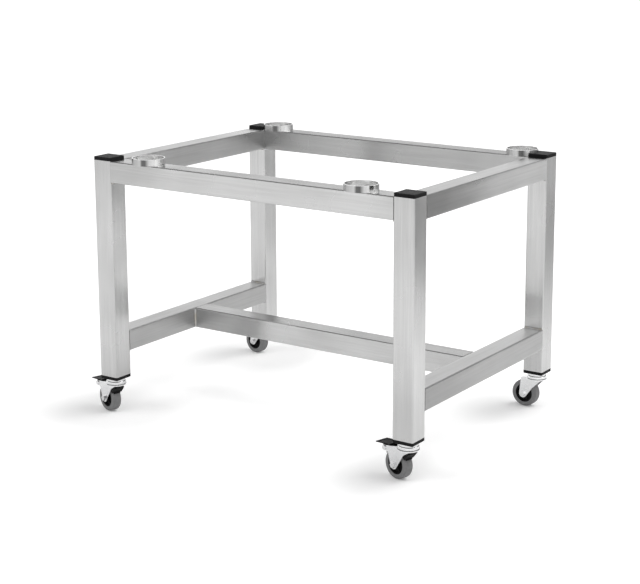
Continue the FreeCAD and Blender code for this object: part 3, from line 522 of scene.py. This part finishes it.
def plated(name, tones, rough_span, spangle_scale):
    """Plated metal: a spangle of cells under a soft bloom."""
    material, tree, shader, where = new_material(name)
    cells = add_node(tree, "ShaderNodeTexVoronoi", (-1000, 200), Scale=spangle_scale, Randomness=1.0)
    bloom = place_group(tree, BRUSHED_GRAIN, (-1000, -150), Stretch=(260.0, 260.0, 260.0), Cloud_Scale=70.0)
    spangle = add_node(tree, "ShaderNodeSeparateXYZ", (-800, 200))
    tree.links.new(where, cells.inputs["Vector"])
    tree.links.new(where, bloom.inputs["Vector"])
    tree.links.new(cells.outputs["Color"], spangle.inputs[0])
    mixed = mix_values(tree, BLOOM_SHARE, spangle.outputs["X"], bloom.outputs["Clouds"], (-600, 100))
    colour = mix_colours(tree, mixed, *tones, (-350, 200))
    rough = change(tree, bloom.outputs["Clouds"], *NOISE_SPAN, *rough_span, (-350, -100))
    finish_surface(tree, shader, colour, rough, bloom.outputs["Height"], 0.05, 0.0003)
    shader.inputs["Metallic"].default_value = 1.0
    return material


dress(("fork", "swivel_head", "castor_stem"), plated("bright_zinc", ZINC_TONES, (0.16, 0.28), 420.0))
dress(("axle", "brake_rivet", "bearing_balls"), plated("rivet_steel", RIVET_TONES, (0.12, 0.22), 900.0))

# %% [markdown]
# ## Floor
#
# The stand is shown on a white sweep. The floor is a pale plane that the lamps light, and for camera
# rays it adds a little emission, more in the distance where the lamps fall off, and less round the
# castors, so that their soft shadows stay. No extra light falls on the stand. Mirror rays get a share
# of that emission too. For mirror rays alone the floor is painted darker: uneven, greyer at the back
# right, and dark in a patch where a studio would hold a black card. These painted darks draw the dark
# upper ends on the right-hand faces.

# %% What mirror rays find on the floor
BACK_RIGHT = (0.55, 0.83)
BACK_DIM = 0.20
BACK_SPAN = (0.75, 1.35)
DARK_SPOT_DIM = 0.62
DARK_SPOT_SPAN = (0.7, 1.25)
DARK_SPOT_PLACE = (1.45, 1.55, 0.0)
DARK_SPOT_HALF = (0.80, 0.34, 1.0)
DARK_SPOT_TURN = math.radians(56.5)
PATCH_DIM = 0.16
PATCH_SPAN = (0.35, 0.65)


def towards_back_right(tree, split, left, top):
    """How far a split-up point or direction lies towards the back right."""
    sideways = work_out(tree, "MULTIPLY", split.outputs["X"], BACK_RIGHT[0], (left, top))
    onwards = work_out(tree, "MULTIPLY", split.outputs["Y"], BACK_RIGHT[1], (left, top - 150))
    return work_out(tree, "ADD", sideways, onwards, (left + 200, top - 50))


def dim_for_mirrors(tree, where, mirrored):
    """How much darker a mirror ray finds the floor: painted darker at the back right, most in a dark patch.
    """
    split = add_node(tree, "ShaderNodeSeparateXYZ", (-1500, 500))
    tree.links.new(where, split.inputs[0])
    backwards = towards_back_right(tree, split, -1300, 600)
    back = soft_step(tree, backwards, *BACK_SPAN, 0.0, BACK_DIM, (-900, 600))
    # A painted dark patch, seen only by mirror rays, where a studio would hold a black card.
    dark_spot = add_node(tree, "ShaderNodeMapping", (-1500, 250), vector_type="TEXTURE")
    dark_spot.inputs["Location"].default_value = DARK_SPOT_PLACE
    dark_spot.inputs["Rotation"].default_value = (0.0, 0.0, DARK_SPOT_TURN)
    dark_spot.inputs["Scale"].default_value = DARK_SPOT_HALF
    tree.links.new(where, dark_spot.inputs["Vector"])
    spread = add_node(tree, "ShaderNodeVectorMath", (-1300, 250), operation="LENGTH")
    tree.links.new(dark_spot.outputs[0], spread.inputs[0])
    dark = soft_step(tree, spread.outputs["Value"], *DARK_SPOT_SPAN, DARK_SPOT_DIM, 0.0, (-1100, 250))
    uneven = add_node(tree, "ShaderNodeTexNoise", (-1300, 850), Scale=1.1, Detail=1.0)
    tree.links.new(where, uneven.inputs["Vector"])
    patchy = soft_step(tree, uneven.outputs["Fac"], *PATCH_SPAN, 0.0, PATCH_DIM, (-900, 850))
    dim = work_out(tree, "ADD", back, dark, (-700, 500))
    dim = work_out(tree, "ADD", dim, patchy, (-600, 600))
    return work_out(tree, "MULTIPLY", dim, mirrored, (-450, 500))

# %% Glow of the floor
GLOW_NEAR = 0.34
GLOW_FAR = 0.60
GLOW_SPAN = (0.5, 2.2)
CASTOR_GLOW = 0.42
CASTOR_SPAN = (0.07, 0.19)
MIRRORED_SHARE = 0.30


def near_castors(tree, where):
    """A share of the glow: full in the open, small round the four castors, where the shadows lie."""
    folded = add_node(tree, "ShaderNodeVectorMath", (-1900, -100), operation="ABSOLUTE")
    from_foot = add_node(tree, "ShaderNodeVectorMath", (-1700, -100), operation="DISTANCE")
    from_foot.inputs[1].default_value = (LEG_X, LEG_Y, 0.0)
    tree.links.new(where, folded.inputs[0])
    tree.links.new(folded.outputs[0], from_foot.inputs[0])
    return soft_step(tree, from_foot.outputs["Value"], *CASTOR_SPAN, CASTOR_GLOW, 1.0, (-1500, -100))


def floor_glow(tree, where, ray, dim):
    """The floor's own light: full for camera rays, a share of it for mirror rays, none for other rays."""
    reach = add_node(tree, "ShaderNodeVectorMath", (-1300, 0), operation="LENGTH")
    tree.links.new(where, reach.inputs[0])
    glow = soft_step(tree, reach.outputs["Value"], *GLOW_SPAN, GLOW_NEAR, GLOW_FAR, (-1100, 0))
    glow = work_out(tree, "MULTIPLY", glow, near_castors(tree, where), (-900, 0))
    glossy, through = ray.outputs["Is Glossy Ray"], ray.outputs["Is Transmission Ray"]
    bounced = work_out(tree, "ADD", glossy, through, (-1100, -300))
    bounced = work_out(tree, "MULTIPLY", bounced, MIRRORED_SHARE, (-900, -300))
    seen = work_out(tree, "ADD", ray.outputs["Is Camera Ray"], bounced, (-700, -300))
    left = work_out(tree, "SUBTRACT", 1.0, dim, (-500, 0))
    glow = work_out(tree, "MULTIPLY", glow, seen, (-500, -200))
    return work_out(tree, "MULTIPLY", glow, left, (-300, -200))

# %% White floor
FLOOR_REACH = 14.0
FLOOR_DROP = 0.0003
FLOOR_PALE = 0.92


def white_sweep():
    material, tree, shader, where = new_material("white_sweep")
    shader.inputs["Roughness"].default_value = 0.9
    shader.inputs["Specular IOR Level"].default_value = 0.0
    shader.inputs["Emission Color"].default_value = (1, 1, 1, 1)
    ray = add_node(tree, "ShaderNodeLightPath", (-1500, -300))
    dim = dim_for_mirrors(tree, where, ray.outputs["Is Glossy Ray"])
    # Painted darks for mirror rays only: the floor's colour goes towards black by the dim.
    shade = mix_colours(tree, dim, (FLOOR_PALE, FLOOR_PALE, FLOOR_PALE, 1), (0, 0, 0, 1), (-300, 200))
    tree.links.new(shade, shader.inputs["Base Color"])
    tree.links.new(floor_glow(tree, where, ray, dim), shader.inputs["Emission Strength"])
    return material


def white_floor():
    mesh = bpy.data.meshes.new("studio_floor")
    sheet = bmesh.new()
    bmesh.ops.create_grid(sheet, x_segments=1, y_segments=1, size=FLOOR_REACH)
    sheet.to_mesh(mesh)
    sheet.free()
    mesh.materials.append(white_sweep())
    floor = bpy.data.objects.new("studio_floor", mesh)
    floor.location.z = -FLOOR_DROP
    bpy.context.scene.collection.objects.link(floor)
    return floor


print("floor:", white_floor().name, 2 * FLOOR_REACH, "m across")

# %% [markdown]
# ## World and lamps
#
# Steel shows what stands round it, so its look is made by the room. For camera rays the world is plain
# white, and as light it is an even, moderate white. Mirror rays find a white horizon, a room that is
# darker at the back right, and a dim belt under the ceiling: the rounded edges of the tubes mirror it
# as thin dark lines. Two large area lamps stand in for soft boxes. The main one is high at the back right,
# so the shadows fall to the front left.

# %% World
WORLD_LIGHT = 0.55
HORIZON_SHINE = 1.15
CEILING_SHINE = 0.20
CEILING_SPAN = (0.30, 0.52)
OVERHEAD_SHINE = 0.50
OVERHEAD_SPAN = (0.82, 0.95)
BACK_RIGHT_SHINE = 0.42
BACK_RIGHT_SPAN = (0.75, 0.97)


def studio_world():
    world = bpy.data.worlds.new("studio")
    bpy.context.scene.world = world
    world.use_nodes = True
    tree = world.node_tree
    back = tree.nodes["Background"]
    back.inputs["Color"].default_value = (1.0, 1.0, 1.0, 1.0)
    ray = add_node(tree, "ShaderNodeLightPath", (-900, 400))
    coords = add_node(tree, "ShaderNodeTexCoord", (-1500, -100))
    split = add_node(tree, "ShaderNodeSeparateXYZ", (-1300, -100))
    tree.links.new(coords.outputs["Generated"], split.inputs[0])
    backwards = towards_back_right(tree, split, -1100, -50)
    side = soft_step(tree, backwards, *BACK_RIGHT_SPAN, 1.0, BACK_RIGHT_SHINE, (-700, -250))
    level = soft_step(tree, split.outputs["Z"], *CEILING_SPAN, HORIZON_SHINE, CEILING_SHINE, (-700, 0))
    overhead = soft_step(tree, split.outputs["Z"], *OVERHEAD_SPAN, 0.0, OVERHEAD_SHINE, (-700, 200))
    level = work_out(tree, "ADD", level, overhead, (-500, 100))
    shine = work_out(tree, "MULTIPLY", side, level, (-500, -100))
    light = mix_values(tree, ray.outputs["Is Glossy Ray"], WORLD_LIGHT, shine, (-300, 100))
    strength = mix_values(tree, ray.outputs["Is Camera Ray"], light, 1.0, (-100, 200))
    tree.links.new(strength, back.inputs["Strength"])
    return world


print("world:", studio_world().name)

# %% Soft boxes


def soft_box(name, place, target, width, height, watts, mirrored=True):
    """A rectangular lamp at a place, aimed at a target. Steel needn't mirror it."""
    lamp = bpy.data.lights.new(name, "AREA")
    lamp.shape = "RECTANGLE"
    lamp.size = width
    lamp.size_y = height
    lamp.energy = watts
    holder = bpy.data.objects.new(name, lamp)
    holder.location = place
    aim = Vector(target) - Vector(place)
    holder.rotation_euler = aim.to_track_quat("-Z", "Y").to_euler()
    holder.visible_glossy = mirrored
    bpy.context.scene.collection.objects.link(holder)
    return holder


MIDDLE = (0.0, 0.0, 0.25)
LAMPS = (
    soft_box("key_box", (1.35, 0.8, 2.5), MIDDLE, 2.2, 2.2, 44),
    soft_box("front_box", (-1.8, -3.0, 2.8), MIDDLE, 2.5, 2.0, 40, mirrored=False),
)
print("lamps:", {lamp.name: lamp.data.energy for lamp in LAMPS})

# %% [markdown]
# ## Camera
#
# The camera was worked out from the tubes' edges in the photograph: three directions that are at right
# angles on the object leave only one place to stand. The picture was cropped off centre, which a shift
# of the lens repeats. A large shift would push the stand out of the frame from other angles, so the
# camera is tilted a little more and shifted less, at the price of about half a pixel.

# %% Camera
CAMERA_PLACE = (1.6302, -2.3723, 0.9697)
CAMERA_AZIMUTH = 33.492
CAMERA_ELEVATION = 11.759
PHOTO_WIDTH = 640
PHOTO_HEIGHT = 584
FOCAL_PIXELS = 1574.8
PRINCIPAL_X = 354.2
PRINCIPAL_Y = 220.0
SENSOR_WIDTH = 36.0


def photo_camera():
    lens = bpy.data.cameras.new("photo_camera")
    lens.sensor_fit = "HORIZONTAL"
    lens.sensor_width = SENSOR_WIDTH
    lens.lens = FOCAL_PIXELS / PHOTO_WIDTH * SENSOR_WIDTH
    lens.shift_x = (PHOTO_WIDTH / 2 - PRINCIPAL_X) / PHOTO_WIDTH
    lens.shift_y = (PRINCIPAL_Y - PHOTO_HEIGHT / 2) / PHOTO_WIDTH
    holder = bpy.data.objects.new("photo_camera", lens)
    holder.location = CAMERA_PLACE
    holder.rotation_euler = (math.radians(90 - CAMERA_ELEVATION), 0, math.radians(CAMERA_AZIMUTH))
    bpy.context.scene.collection.objects.link(holder)
    bpy.context.scene.camera = holder
    return lens


print("lens:", round(photo_camera().lens, 2), "mm")
bpy.context.scene.view_settings.view_transform = "Standard"
